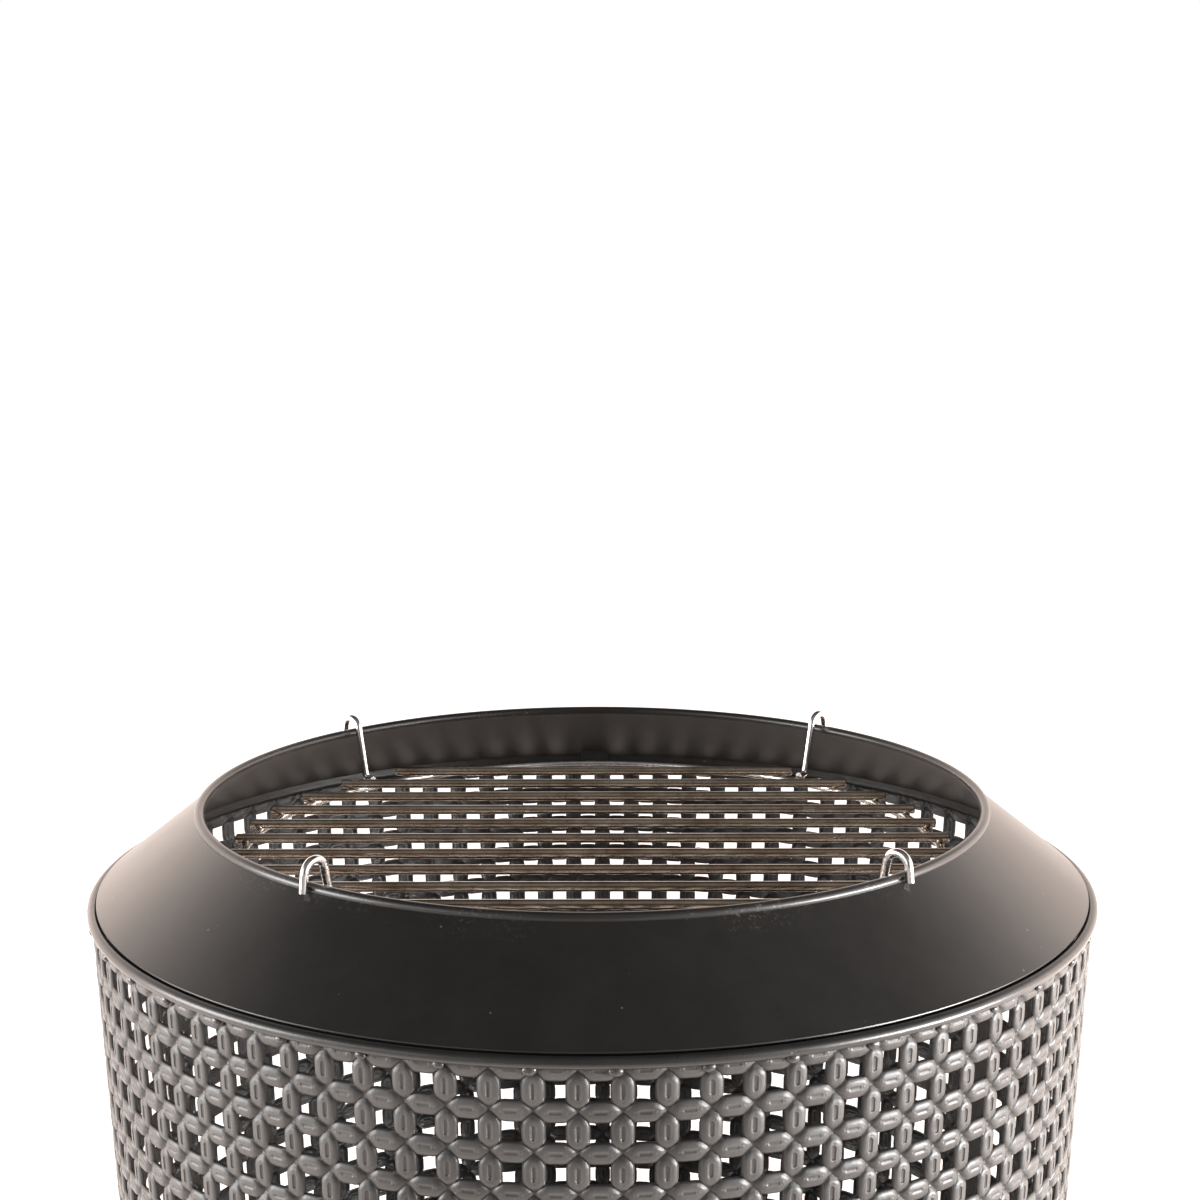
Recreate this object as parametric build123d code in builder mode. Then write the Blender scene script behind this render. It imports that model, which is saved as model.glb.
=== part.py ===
from build123d import *
from math import atan2, cos, degrees, pi, radians, sin, sqrt, tan
import os

# Round fire pit: a tapered perforated drum, a loose cone collar and a hanging cooking grate.
# Millimetres, +Z up, the front is -Y, and the origin is on the ground under the drum's centre.

# Drum
ring_radius = 250.0            # centre line of the rod round the drum's top edge
ring_height = 380.0            # centre of that rod above the ground
ring_wire = 5.5                # rod diameter, top and bottom
wall_taper = 0.0513            # radius lost per millimetre downwards
wall_thickness = 1.0
wall_rows = 18                 # rows of pressed cells, top to bottom
wall_columns = 86              # cells round the drum
wall_margin = 4.8              # wall height beyond the whole rows of pressed cells
seam_width = 20.0
seam_azimuth = 112.0           # degrees from the front towards +X

# Floor of the drum
floor_thickness = 1.5
hoop_height = 11.0
floor_clearance = 3.5          # between the floor's edge and the wall
brace_width = 20.0
brace_thickness = 3.0

# Feet
foot_azimuths = {"front_right": 45, "rear_right": 135, "rear_left": 225, "front_left": 315}
foot_width = 30.0
foot_thickness = 4.0
foot_length = 42.0
foot_bend = 6.0

# Collar
collar_foot_radius = 248.2     # middle of the sheet at the collar's lower edge
collar_thickness = 1.2
rim_radius = 197.2             # centre line of the rolled rim
rim_rise = 43.35               # rim centre above the top ring's centre
bead_diameter = 5.0
rim_wire_diameter = 2.5
tab_azimuths = {"front": 0, "right": 90, "rear": 180, "left": 270}
tab_width = 16.0
tab_thickness = 2.0
tab_depth = 5.0                # how far the collar's tabs reach below the top ring
tab_clearance = 3.5            # between the tabs and the top ring
rest_gap = 0.3                 # clearance under a piece that only rests

# Grate
bar_count = 11
bar_diameter = 5.0
bar_pitch = 27.65
bar_rise = 20.0                # bar centres above the top ring's centre
first_bar_y = -133.2
bar_end_radius = 183.0
hanger_wire = 4.0              # wire of the hooks and of the grate's ring
grate_ring_radius = 178.5
hook_azimuths = {"front_right": 44.6, "rear_right": 138.8, "rear_left": -135.1, "front_left": -38.5}
hook_rises = {"front_right": 11.0, "rear_right": 9.2, "rear_left": 9.2, "front_left": 12.3}
hook_offset = 5.1              # end of the outer leg beyond the rim's centre line
hook_lean = 1.5                # how far the outer leg leans in towards its top
hook_bend = 6.0
hook_tip = 1.3                 # end of the outer leg below the rim's centre
hook_foot_radius = 183.0
hook_foot_end = 177.5
hook_foot_bend = 3.0

# Heights and radii that follow
cell_pitch = 2 * pi * ring_radius / wall_columns
wall_top = ring_height - ring_wire / 2
wall_bottom = wall_top - wall_rows * cell_pitch - wall_margin
rim_height = ring_height + rim_rise
bar_height = ring_height + bar_rise
grate_ring_height = bar_height - bar_diameter / 2 - hanger_wire / 2


def wall_radius(height):
    """Radius of the middle of the drum's sheet at a height."""
    return ring_radius - wall_taper * (ring_height - height)


bottom_ring_radius = wall_radius(wall_bottom)
bottom_ring_height = wall_bottom - ring_wire / 2
brace_top = bottom_ring_height + brace_thickness / 2
brace_reach = bottom_ring_radius - ring_wire / 2
floor_radius = wall_radius(brace_top) - floor_clearance
collar_foot_reach = ring_wire / 2 + rest_gap + collar_thickness / 2
collar_foot_height = ring_height + sqrt(collar_foot_reach ** 2 - (ring_radius - collar_foot_radius) ** 2)
cone_angle = atan2(rim_height - collar_foot_height, collar_foot_radius - rim_radius)

os.makedirs("parts", exist_ok=True)


def azimuth_frame(azimuth):
    """Plane through the drum's axis: x runs outwards at the azimuth, y runs up."""
    turn = radians(azimuth)
    return Plane(origin=(0, 0, 0), x_dir=(sin(turn), -cos(turn), 0), z_dir=(-cos(turn), -sin(turn), 0))


def save(piece, name):
    piece.part.label = name
    export_step(piece.part, f"parts/{name}.step")


# Drum wall: one tapered sheet, rolled round
with BuildPart() as drum_wall:
    with BuildSketch(Plane.XZ):
        with BuildLine():
            Polyline(
                (wall_radius(wall_bottom) - wall_thickness / 2, wall_bottom),
                (wall_radius(wall_bottom) + wall_thickness / 2, wall_bottom),
                (wall_radius(wall_top) + wall_thickness / 2, wall_top),
                (wall_radius(wall_top) - wall_thickness / 2, wall_top),
                close=True,
            )
        make_face()
    revolve(axis=Axis.Z)
save(drum_wall, "drum_wall")

# Lap strip inside the wall, where the rolled sheet meets itself
with BuildPart() as seam_strip:
    with BuildSketch(Plane.XZ):
        with BuildLine():
            Polyline(
                (wall_radius(wall_bottom) - 1.5 * wall_thickness, wall_bottom + hoop_height),
                (wall_radius(wall_bottom + hoop_height) - wall_thickness / 2, wall_bottom + hoop_height),
                (wall_radius(wall_top) - wall_thickness / 2, wall_top),
                (wall_radius(wall_top) - 1.5 * wall_thickness, wall_top),
                close=True,
            )
        make_face()
    revolve(axis=Axis.Z)
    with BuildSketch(Plane.XY.offset(wall_bottom)):
        with Locations((ring_radius * sin(radians(seam_azimuth)), -ring_radius * cos(radians(seam_azimuth)))):
            Rectangle(ring_radius / 2, seam_width)
    extrude(amount=wall_top, mode=Mode.INTERSECT)
save(seam_strip, "seam_strip")

# Round rods along the wall's two edges
for name, radius, height in (
    ("top_ring", ring_radius, ring_height),
    ("bottom_ring", bottom_ring_radius, bottom_ring_height),
):
    with BuildPart() as edge_ring:
        with BuildSketch(Plane.XZ):
            with Locations((radius, height)):
                Circle(ring_wire / 2)
        revolve(axis=Axis.Z)
    save(edge_ring, name)

# Floor plate, and the hoop on its edge that keeps the ash in
with BuildPart() as fire_floor:
    with BuildSketch(Plane.XY.offset(brace_top)):
        Circle(floor_radius)
    extrude(amount=floor_thickness)
save(fire_floor, "fire_floor")

with BuildPart() as floor_hoop:
    with BuildSketch(Plane.XY.offset(brace_top + floor_thickness)):
        Circle(floor_radius)
        Circle(floor_radius - floor_thickness, mode=Mode.SUBTRACT)
    extrude(amount=hoop_height)
    hoop_top = floor_hoop.faces().sort_by(Axis.Z)[-1]
    chamfer(hoop_top.edges(), floor_thickness / 5)
save(floor_hoop, "floor_hoop")

# Two flat bars carry the floor. They cross in a half lap.
for name, turn, notch_above in (("floor_brace_across", 0, True), ("floor_brace_along", 90, False)):
    with BuildPart() as brace:
        with BuildSketch(Plane.XY.offset(brace_top)):
            SlotOverall(2 * brace_reach, brace_width, rotation=turn)
        extrude(amount=-brace_thickness)
        notch_base = brace_top if notch_above else brace_top - brace_thickness
        with BuildSketch(Plane.XY.offset(notch_base)):
            Rectangle(brace_width, brace_width)
        extrude(amount=(-1 if notch_above else 1) * brace_thickness / 2, mode=Mode.SUBTRACT)
    save(brace, name)

# Bent strap feet under the bottom ring
foot_outer = bottom_ring_radius + foot_thickness / 2
foot_top = bottom_ring_height - ring_wire / 2
for place, azimuth in foot_azimuths.items():
    foot_plane = azimuth_frame(azimuth)
    with BuildPart() as foot:
        with BuildSketch(foot_plane):
            with BuildLine():
                Polyline(
                    (foot_outer - foot_length, 0),
                    (foot_outer, 0),
                    (foot_outer, foot_top),
                    (foot_outer - foot_thickness, foot_top),
                    (foot_outer - foot_thickness, foot_thickness),
                    (foot_outer - foot_length, foot_thickness),
                    close=True,
                )
            make_face()
        extrude(amount=foot_width / 2, both=True)
        cross_edges = foot.edges().filter_by(lambda edge: abs(edge.length - foot_width) < 0.01)
        heel = foot_plane.from_local_coords((foot_outer, 0, 0))
        fillet(cross_edges.sort_by_distance(heel)[0], foot_bend)
        cross_edges = foot.edges().filter_by(lambda edge: abs(edge.length - foot_width) < 0.01)
        instep = foot_plane.from_local_coords((foot_outer - foot_thickness, foot_thickness, 0))
        fillet(cross_edges.sort_by_distance(instep)[0], foot_bend - foot_thickness)
        toe = foot_plane.from_local_coords((foot_outer - foot_length, 0, 0))
        toe_edges = foot.edges().filter_by(Axis.Z).sort_by_distance(toe)[:2]
        fillet(toe_edges, foot_width / 4)
    save(foot, f"foot_{place}")

# Collar: a cone that rests on the top ring, with a rolled rim above
rim_centre = (rim_radius, rim_height)
with BuildPart() as collar_shell:
    with BuildSketch(Plane.XZ):
        with BuildLine():
            Line((collar_foot_radius, collar_foot_height), rim_centre)
        trace(line_width=collar_thickness)
        with Locations(rim_centre):
            Circle(bead_diameter / 2)
            Circle(rim_wire_diameter / 2, mode=Mode.SUBTRACT)
    revolve(axis=Axis.Z)
save(collar_shell, "collar_shell")


def cone_underside(radius):
    """Height of the cone's lower face at a radius."""
    return (collar_foot_height + (collar_foot_radius - radius) * tan(cone_angle)
            - collar_thickness / 2 / cos(cone_angle))


# Tabs under the collar that keep it centred in the top ring
tab_outer = ring_radius - ring_wire / 2 - tab_clearance
tab_inner = tab_outer - tab_thickness
tab_bottom = ring_height - ring_wire / 2 - tab_depth
tab_arc = degrees(tab_width / tab_outer)
for place, azimuth in tab_azimuths.items():
    with BuildPart() as tab:
        with BuildSketch(azimuth_frame(azimuth - tab_arc / 2)):
            with BuildLine():
                Polyline(
                    (tab_inner, tab_bottom),
                    (tab_outer, tab_bottom),
                    (tab_outer, cone_underside(tab_outer)),
                    (tab_inner, cone_underside(tab_inner)),
                    close=True,
                )
            make_face()
        revolve(axis=Axis.Z, revolution_arc=tab_arc)
        corner_edges = tab.edges().filter_by(lambda edge: abs(edge.length - tab_thickness) < 0.01)
        fillet(corner_edges.sort_by(Axis.Z)[:2], tab_width / 5)
    save(tab, f"collar_tab_{place}")

# Wire that the rim is rolled round
with BuildPart() as rim_wire:
    with BuildSketch(Plane.XZ):
        with Locations(rim_centre):
            Circle(rim_wire_diameter / 2 - 0.02)
    revolve(axis=Axis.Z)
save(rim_wire, "rim_wire")

# Grate: straight bars across a wire ring
with BuildPart() as grate_ring:
    with BuildSketch(Plane.XZ):
        with Locations((grate_ring_radius, grate_ring_height)):
            Circle(hanger_wire / 2)
    revolve(axis=Axis.Z)
save(grate_ring, "grate_ring")

for index in range(bar_count):
    bar_y = first_bar_y + index * bar_pitch
    half_length = sqrt(bar_end_radius ** 2 - bar_y ** 2)
    with BuildPart() as bar:
        with BuildSketch(Plane.YZ):
            with Locations((bar_y, bar_height)):
                Circle(bar_diameter / 2)
        extrude(amount=half_length, both=True)
        chamfer(bar.edges(), 0.5)
    save(bar, f"grate_bar_{index + 1:02d}")

# Wire hooks from the grate's ring over the collar's rim
outer_leg = rim_radius + hook_offset
outer_corner = outer_leg - hook_lean
foot_height = grate_ring_height + hanger_wire
for place, azimuth in hook_azimuths.items():
    hook_top = rim_height + hook_rises[place]
    outer_turn = pi / 2 - atan2(hook_lean, hook_rises[place] + hook_tip)
    inner_turn = atan2(hook_top - foot_height, outer_corner - 2 * hook_bend - hook_foot_radius)
    inner_corner = outer_corner - hook_bend * (tan(outer_turn / 2) + tan(inner_turn / 2)) - 0.05
    hook_plane = azimuth_frame(azimuth)
    with BuildPart() as hook:
        with BuildLine(hook_plane) as hook_line:
            FilletPolyline(
                (outer_leg, rim_height - hook_tip),
                (outer_corner, hook_top),
                (inner_corner, hook_top),
                (hook_foot_radius, foot_height),
                (hook_foot_end, foot_height),
                radius=[hook_bend, hook_bend, hook_foot_bend],
            )
        wire_start = Plane(
            origin=hook_plane.from_local_coords((outer_leg, rim_height - hook_tip, 0)),
            z_dir=hook_line.wires()[0] % 0,
        )
        with BuildSketch(wire_start):
            Circle(hanger_wire / 2)
        sweep(path=hook_line.wires()[0])
    save(hook, f"hook_{place}")
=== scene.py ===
import bpy, bmesh, math, random
from mathutils import Matrix, Vector, noise


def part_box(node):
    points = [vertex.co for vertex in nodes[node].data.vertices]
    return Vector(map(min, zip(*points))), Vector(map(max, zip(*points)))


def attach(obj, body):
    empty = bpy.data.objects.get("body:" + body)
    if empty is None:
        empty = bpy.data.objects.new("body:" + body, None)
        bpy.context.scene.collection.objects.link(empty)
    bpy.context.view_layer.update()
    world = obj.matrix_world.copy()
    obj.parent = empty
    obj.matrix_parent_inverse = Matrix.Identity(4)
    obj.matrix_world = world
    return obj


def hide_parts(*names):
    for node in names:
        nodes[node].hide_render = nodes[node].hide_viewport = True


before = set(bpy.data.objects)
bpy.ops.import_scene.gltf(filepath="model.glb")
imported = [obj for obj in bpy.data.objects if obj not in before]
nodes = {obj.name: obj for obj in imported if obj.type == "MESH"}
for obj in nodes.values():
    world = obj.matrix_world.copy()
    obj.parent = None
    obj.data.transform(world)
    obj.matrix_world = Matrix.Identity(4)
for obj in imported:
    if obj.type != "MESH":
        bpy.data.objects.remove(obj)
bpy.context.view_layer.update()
print("frame loaded:", len(nodes), "nodes")

# lengths below are in metres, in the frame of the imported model
mm = 0.001


def linkNew(tree, kind, **values):
    node = tree.nodes.new(kind)
    for key, value in values.items():
        setattr(node, key, value)
    return node


def placeObject(name, data):
    thing = bpy.data.objects.new(name, data)
    bpy.context.scene.collection.objects.link(thing)
    return thing


# the azimuth is 0 at the front and grows towards the right
def polarSpot(azimuth, radius, height):
    return Vector((radius * math.sin(azimuth), -radius * math.cos(azimuth), height))


def azimuthOf(name):
    low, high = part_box(name)
    return math.atan2((low[0] + high[0]) / 2, -(low[1] + high[1]) / 2)


# shader groups, built once and placed in the materials
def startGroup(name, inputs, outputs):
    group = bpy.data.node_groups.new(name, "ShaderNodeTree")
    for label, kind, value in inputs:
        socket = group.interface.new_socket(name=label, in_out="INPUT", socket_type=kind)
        if value is not None:
            socket.default_value = value
    for label, kind in outputs:
        group.interface.new_socket(name=label, in_out="OUTPUT", socket_type=kind)
    return group, linkNew(group, "NodeGroupInput").outputs, linkNew(group, "NodeGroupOutput").inputs


def addMath(tree, operation, first, second, clamp=False):
    node = linkNew(tree, "ShaderNodeMath", operation=operation, use_clamp=clamp)
    for index, value in enumerate((first, second)):
        if isinstance(value, (int, float)):
            node.inputs[index].default_value = value
        else:
            tree.links.new(value, node.inputs[index])
    return node.outputs[0]


def addNoise(tree, vector, scale, detail=4.0, rough=0.55):
    texture = linkNew(tree, "ShaderNodeTexNoise")
    texture.inputs["Detail"].default_value = detail
    texture.inputs["Roughness"].default_value = rough
    if isinstance(scale, (int, float)):
        texture.inputs["Scale"].default_value = scale
    else:
        tree.links.new(scale, texture.inputs["Scale"])
    tree.links.new(vector, texture.inputs["Vector"])
    return texture.outputs["Fac"]


def addRange(tree, value, low, high, toLow=0.0, toHigh=1.0):
    node = linkNew(tree, "ShaderNodeMapRange")
    for label, number in (("From Min", low), ("From Max", high), ("To Min", toLow), ("To Max", toHigh)):
        if isinstance(number, (int, float)):
            node.inputs[label].default_value = number
        else:
            tree.links.new(number, node.inputs[label])
    tree.links.new(value, node.inputs["Value"])
    return node.outputs[0]


def addMix(tree, factor, first, second, blend="MIX"):
    node = linkNew(tree, "ShaderNodeMix", data_type="RGBA", blend_type=blend)
    for socket, value in ((node.inputs[0], factor), (node.inputs[6], first), (node.inputs[7], second)):
        if isinstance(value, (int, float, tuple)):
            socket.default_value = value
        else:
            tree.links.new(value, socket)
    return node.outputs[2]


def addSplit(tree, vector):
    node = linkNew(tree, "ShaderNodeSeparateXYZ")
    tree.links.new(vector, node.inputs[0])
    return node.outputs


# sprayed paint: cloudy tone, fine grain, soft lumps and a skin like orange peel
def buildPaintGrain():
    group, given, result = startGroup(
        "paintGrain",
        [("Grain Scale", "NodeSocketFloat", 900.0), ("Cloud Scale", "NodeSocketFloat", 14.0),
         ("Lump Scale", "NodeSocketFloat", 220.0), ("Grain Amount", "NodeSocketFloat", 0.3),
         ("Cloud Amount", "NodeSocketFloat", 0.3), ("Lump Amount", "NodeSocketFloat", 0.5)],
        [("Tone", "NodeSocketFloat"), ("Rough", "NodeSocketFloat"), ("Height", "NodeSocketFloat")],
    )
    place = linkNew(group, "ShaderNodeTexCoord").outputs["Object"]
    grain = addNoise(group, place, given["Grain Scale"], 3.0)
    cloud = addNoise(group, place, given["Cloud Scale"], 5.0, 0.6)
    lumps = addNoise(group, place, given["Lump Scale"], 2.0)
    grainPart = addMath(group, "MULTIPLY", addMath(group, "SUBTRACT", grain, 0.5), given["Grain Amount"])
    cloudPart = addMath(group, "MULTIPLY", addMath(group, "SUBTRACT", cloud, 0.5), given["Cloud Amount"])
    tone = addMath(group, "ADD", addMath(group, "ADD", grainPart, cloudPart), 0.5, clamp=True)
    group.links.new(tone, result["Tone"])
    group.links.new(addRange(group, cloud, 0.3, 0.7), result["Rough"])
    lumpPart = addMath(group, "MULTIPLY", lumps, given["Lump Amount"])
    height = addMath(group, "ADD", addMath(group, "MULTIPLY", grain, 0.25), lumpPart)
    group.links.new(height, result["Height"])
    return group


# settled dust: specks of uneven size, thicker between two heights, and a film on faces turned upwards
def buildDust():
    group, given, result = startGroup(
        "dust",
        [("Speck Scale", "NodeSocketFloat", 130.0), ("Speck Size", "NodeSocketFloat", 0.07),
         ("Film", "NodeSocketFloat", 0.2), ("Band Low", "NodeSocketFloat", 9.0),
         ("Band High", "NodeSocketFloat", 10.0)],
        [("Specks", "NodeSocketFloat"), ("Film", "NodeSocketFloat"), ("Band", "NodeSocketFloat")],
    )
    place = linkNew(group, "ShaderNodeTexCoord").outputs["Object"]
    cells = linkNew(group, "ShaderNodeTexVoronoi")
    group.links.new(place, cells.inputs["Vector"])
    group.links.new(given["Speck Scale"], cells.inputs["Scale"])
    chance = linkNew(group, "ShaderNodeSeparateColor")
    group.links.new(cells.outputs["Color"], chance.inputs[0])
    share = addRange(group, chance.outputs[0], 0.0, 1.0, 0.25, 1.3)
    size = addMath(group, "MULTIPLY", given["Speck Size"], share)
    near = addMath(group, "LESS_THAN", cells.outputs["Distance"], size)
    few = addMath(group, "GREATER_THAN", chance.outputs[1], 0.45)
    group.links.new(addMath(group, "MULTIPLY", near, few), result["Specks"])
    facing = addSplit(group, linkNew(group, "ShaderNodeNewGeometry").outputs["Normal"])
    upward = addRange(group, facing["Z"], 0.2, 0.95)
    patches = addRange(group, addNoise(group, place, 60.0, 6.0, 0.7), 0.42, 0.68)
    film = addMath(group, "MULTIPLY", addMath(group, "MULTIPLY", upward, patches), given["Film"])
    group.links.new(film, result["Film"])
    rise = addRange(group, addSplit(group, place)["Z"], given["Band Low"], given["Band High"])
    crumbs = addRange(group, addNoise(group, place, 650.0, 4.0, 0.7), 0.56, 0.66)
    drift = addRange(group, addNoise(group, place, 22.0, 2.0), 0.46, 0.62)
    band = addMath(group, "MULTIPLY", addMath(group, "MULTIPLY", rise, crumbs), drift)
    group.links.new(band, result["Band"])
    return group


# fine lines drawn along a wire or bar, with brown heat stains
def buildDrawnSteel():
    group, given, result = startGroup(
        "drawnSteel",
        [("Stretch", "NodeSocketVector", (0.03, 1.0, 1.0)), ("Line Scale", "NodeSocketFloat", 1400.0),
         ("Stain Scale", "NodeSocketFloat", 30.0)],
        [("Lines", "NodeSocketFloat"), ("Stain", "NodeSocketFloat"), ("Soot", "NodeSocketFloat")],
    )
    place = linkNew(group, "ShaderNodeTexCoord").outputs["Object"]
    mapping = linkNew(group, "ShaderNodeMapping")
    group.links.new(place, mapping.inputs["Vector"])
    group.links.new(given["Stretch"], mapping.inputs["Scale"])
    group.links.new(addNoise(group, mapping.outputs[0], given["Line Scale"], 3.0), result["Lines"])
    stain = addNoise(group, place, given["Stain Scale"], 6.0, 0.65)
    group.links.new(addRange(group, stain, 0.35, 0.7), result["Stain"])
    soot = addNoise(group, place, 420.0, 4.0, 0.7)
    group.links.new(addRange(group, soot, 0.55, 0.72), result["Soot"])
    return group


# pressed marks on the petals, as shares of a cell: a pair is (where the mark is full, where it ends),
# and a lip's pair is (its distance from the slot's line, its half width)
markForm = dict(
    uprightHalf=0.125, levelHalf=0.115, uprightSlot=(0.030, 0.058), levelSlot=(0.012, 0.052),
    levelDepth=0.55, uprightLip=(0.078, 0.030), levelLip=(0.070, 0.028), levelLipHeight=0.6,
    dotPlace=0.24, dotSize=(0.012, 0.045), dotHeight=0.8, hollowSize=(0.02, 0.085),
    lipRise=0.18, dotRise=0.35, hollowDrop=0.7,
)


# the marks are found from the place on the drum: slots, dots and hollows where petals meet
def buildPetalMarks():
    form = markForm
    group, given, result = startGroup(
        "petalMarks",
        [("Columns", "NodeSocketFloat", 86.0), ("Pitch", "NodeSocketFloat", 0.0183),
         ("Top", "NodeSocketFloat", 0.377), ("Phase", "NodeSocketFloat", 0.0)],
        [("Height", "NodeSocketFloat"), ("Hollow", "NodeSocketFloat"), ("Lip", "NodeSocketFloat")],
    )
    spot = addSplit(group, linkNew(group, "ShaderNodeTexCoord").outputs["Object"])

    def calc(operation, first, second=0.0):
        return addMath(group, operation, first, second)

    def offCentre(value):
        return calc("SUBTRACT", value, calc("ROUND", value))

    def size(value):
        return calc("ABSOLUTE", value)

    def lip(distance, place, half, height):
        return addRange(group, size(calc("SUBTRACT", distance, place)), 0.0, half, height, 0.0)

    around = calc("ARCTAN2", spot[0], calc("MULTIPLY", spot[1], -1.0))
    azimuth = calc("SUBTRACT", around, given["Phase"])
    turns = calc("DIVIDE", calc("MULTIPLY", azimuth, given["Columns"]), 2 * math.pi)
    rows = calc("DIVIDE", calc("SUBTRACT", given["Top"], spot[2]), given["Pitch"])
    across, down = offCentre(turns), offCentre(rows)
    acrossHalf, downHalf = calc("SUBTRACT", size(across), 0.5), calc("SUBTRACT", size(down), 0.5)

    # distance from a line of the given half length along a petal's middle
    def capsule(along, side, half):
        rest = calc("MAXIMUM", calc("SUBTRACT", size(along), half), 0.0)
        return calc("SQRT", calc("ADD", calc("MULTIPLY", rest, rest), calc("MULTIPLY", side, side)))

    upright = capsule(downHalf, across, form["uprightHalf"])
    level = capsule(acrossHalf, down, form["levelHalf"])
    dots = capsule(calc("SUBTRACT", size(acrossHalf), form["dotPlace"]), down, 0.0)
    meeting = capsule(across, down, 0.0)
    uprightSlot = addRange(group, upright, *form["uprightSlot"], 1.0, 0.0)
    levelSlot = addRange(group, level, *form["levelSlot"], form["levelDepth"], 0.0)
    slots = calc("MAXIMUM", uprightSlot, levelSlot)
    lips = calc("MAXIMUM", lip(upright, *form["uprightLip"], 1.0),
                lip(level, *form["levelLip"], form["levelLipHeight"]))
    dotBumps = addRange(group, dots, *form["dotSize"], form["dotHeight"], 0.0)
    hollow = addRange(group, meeting, *form["hollowSize"], 1.0, 0.0)
    lipPart = calc("MULTIPLY", lips, form["lipRise"])
    raised = calc("ADD", lipPart, calc("MULTIPLY", dotBumps, form["dotRise"]))
    sunk = calc("ADD", slots, calc("MULTIPLY", hollow, form["hollowDrop"]))
    group.links.new(calc("SUBTRACT", raised, sunk), result["Height"])
    # the Hollow mask also places painted shade and the Lip mask painted highlight in the petal paint
    group.links.new(calc("MAXIMUM", slots, hollow), result["Hollow"])
    group.links.new(calc("MAXIMUM", lips, dotBumps), result["Lip"])
    return group


paintGrain = buildPaintGrain()
dust = buildDust()
drawnSteel = buildDrawnSteel()
petalMarks = buildPetalMarks()
print("shader groups built")


# the drum's pressed and pierced sheet, and the sizes the other pieces take from it
wallForm = dict(
    columns=86, rows=18, bandRows=3,
    topEdge=0.6 * mm,         # from the sheet's top edge to the first whole row
    spare=4.8 * mm,           # sheet height beyond the whole rows
    tuck=0.6 * mm,            # how far the sheet's edges run into the two rings
    crest=0.75 * mm,          # petals' tops outside the sheet's middle
    petalHeight=1.7 * mm,
    thickness=1.0 * mm,
    phase=-0.0186,            # turn of the first upright petal from the front, in radians
    holeCorner=0.245, uprightHalf=0.292, levelHalf=0.285,
    waviness=0.35 * mm,
    slotUpright=0.60 * mm, slotLevel=0.32 * mm,
    markDepth=0.40 * mm,
)
wallLow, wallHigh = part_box("drum_wall")
topRadius = (wallHigh[0] - wallLow[0]) / 2 - wallForm["thickness"] / 2
wallDrop = wallHigh[2] - wallLow[2]
cellPitch = (wallDrop - wallForm["spare"]) / wallForm["rows"]
ringLow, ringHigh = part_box("top_ring")
ringWire = ringHigh[2] - ringLow[2]
ringHeight = (ringLow[2] + ringHigh[2]) / 2
footRingLow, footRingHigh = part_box("bottom_ring")
footRingRadius = (footRingHigh[0] - footRingLow[0] - ringWire) / 2
wallTaper = (topRadius - footRingRadius) / wallDrop


def startMaterial(name, metallic, roughness):
    material = bpy.data.materials.new(name)
    material.use_nodes = True
    tree = material.node_tree
    shader = tree.nodes["Principled BSDF"]
    shader.inputs["Metallic"].default_value = metallic
    shader.inputs["Roughness"].default_value = roughness
    return material, tree, shader


def addGroup(tree, group, **values):
    node = linkNew(tree, "ShaderNodeGroup", node_tree=group)
    for key, value in values.items():
        node.inputs[key].default_value = value
    return node


def addBump(tree, shader, height, strength, distance):
    bump = linkNew(tree, "ShaderNodeBump")
    bump.inputs["Strength"].default_value = strength
    bump.inputs["Distance"].default_value = distance
    tree.links.new(height, bump.inputs["Height"])
    tree.links.new(bump.outputs[0], shader.inputs["Normal"])
    return bump


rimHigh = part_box("collar_shell")[1][2]
noBand = (9.0, 10.0)          # heights out of reach, so no band of dust
skinDepth = 0.4 * mm          # full height of a paint's skin, which each paint's bump takes a share of

# dark and light are the ends of the tone, rough the ends of the roughness; scales and amounts are
# those of the grain, the cloud and the lumps; film, speck and band say how much dust lies where
paints = {
    "drumPaint": dict(
        dark=(0.019, 0.0182, 0.0178, 1), light=(0.040, 0.0384, 0.0372, 1), rough=(0.33, 0.45),
        scales=(700.0, 11.0, 300.0), amounts=(0.8, 0.7, 0.8), bump=0.45,
        film=0.12, speck=0.05, band=noBand),
    "ringPaint": dict(
        dark=(0.012, 0.0116, 0.0112, 1), light=(0.022, 0.0213, 0.0206, 1), rough=(0.24, 0.34),
        scales=(800.0, 15.0, 260.0), amounts=(0.7, 0.6, 0.6), bump=0.25,
        film=0.05, speck=0.05, band=noBand),
    "collarPaint": dict(
        dark=(0.0110, 0.0102, 0.0096, 1), light=(0.019, 0.0175, 0.0164, 1), rough=(0.27, 0.34),
        scales=(1100.0, 7.0, 160.0), amounts=(0.5, 0.8, 0.3), bump=0.10,
        film=0.05, speck=0.065, band=(rimHigh - 11 * mm, rimHigh - 4 * mm)),
    # a lighter, rougher copy of the collar paint for its inner faces: painted light
    "collarInside": dict(
        dark=(0.034, 0.0305, 0.0275, 1), light=(0.054, 0.049, 0.0445, 1), rough=(0.42, 0.52),
        scales=(900.0, 9.0, 160.0), amounts=(0.6, 0.8, 0.3), bump=0.12,
        film=0.05, speck=0.05, band=noBand),
    "floorPaint": dict(
        dark=(0.02, 0.019, 0.018, 1), light=(0.05, 0.048, 0.046, 1), rough=(0.55, 0.75),
        scales=(500.0, 9.0, 200.0), amounts=(0.9, 0.9, 0.5), bump=0.35,
        film=0.6, speck=0.10, band=noBand),
    "weldPaint": dict(
        dark=(0.022, 0.021, 0.020, 1), light=(0.060, 0.057, 0.055, 1), rough=(0.16, 0.28),
        scales=(900.0, 60.0, 900.0), amounts=(0.9, 0.9, 0.8), bump=0.3,
        film=0.1, speck=0.05, band=noBand),
}
dustLook = dict(tone=(0.22, 0.20, 0.175, 1), amount=0.5, grit=0.8)
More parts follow.
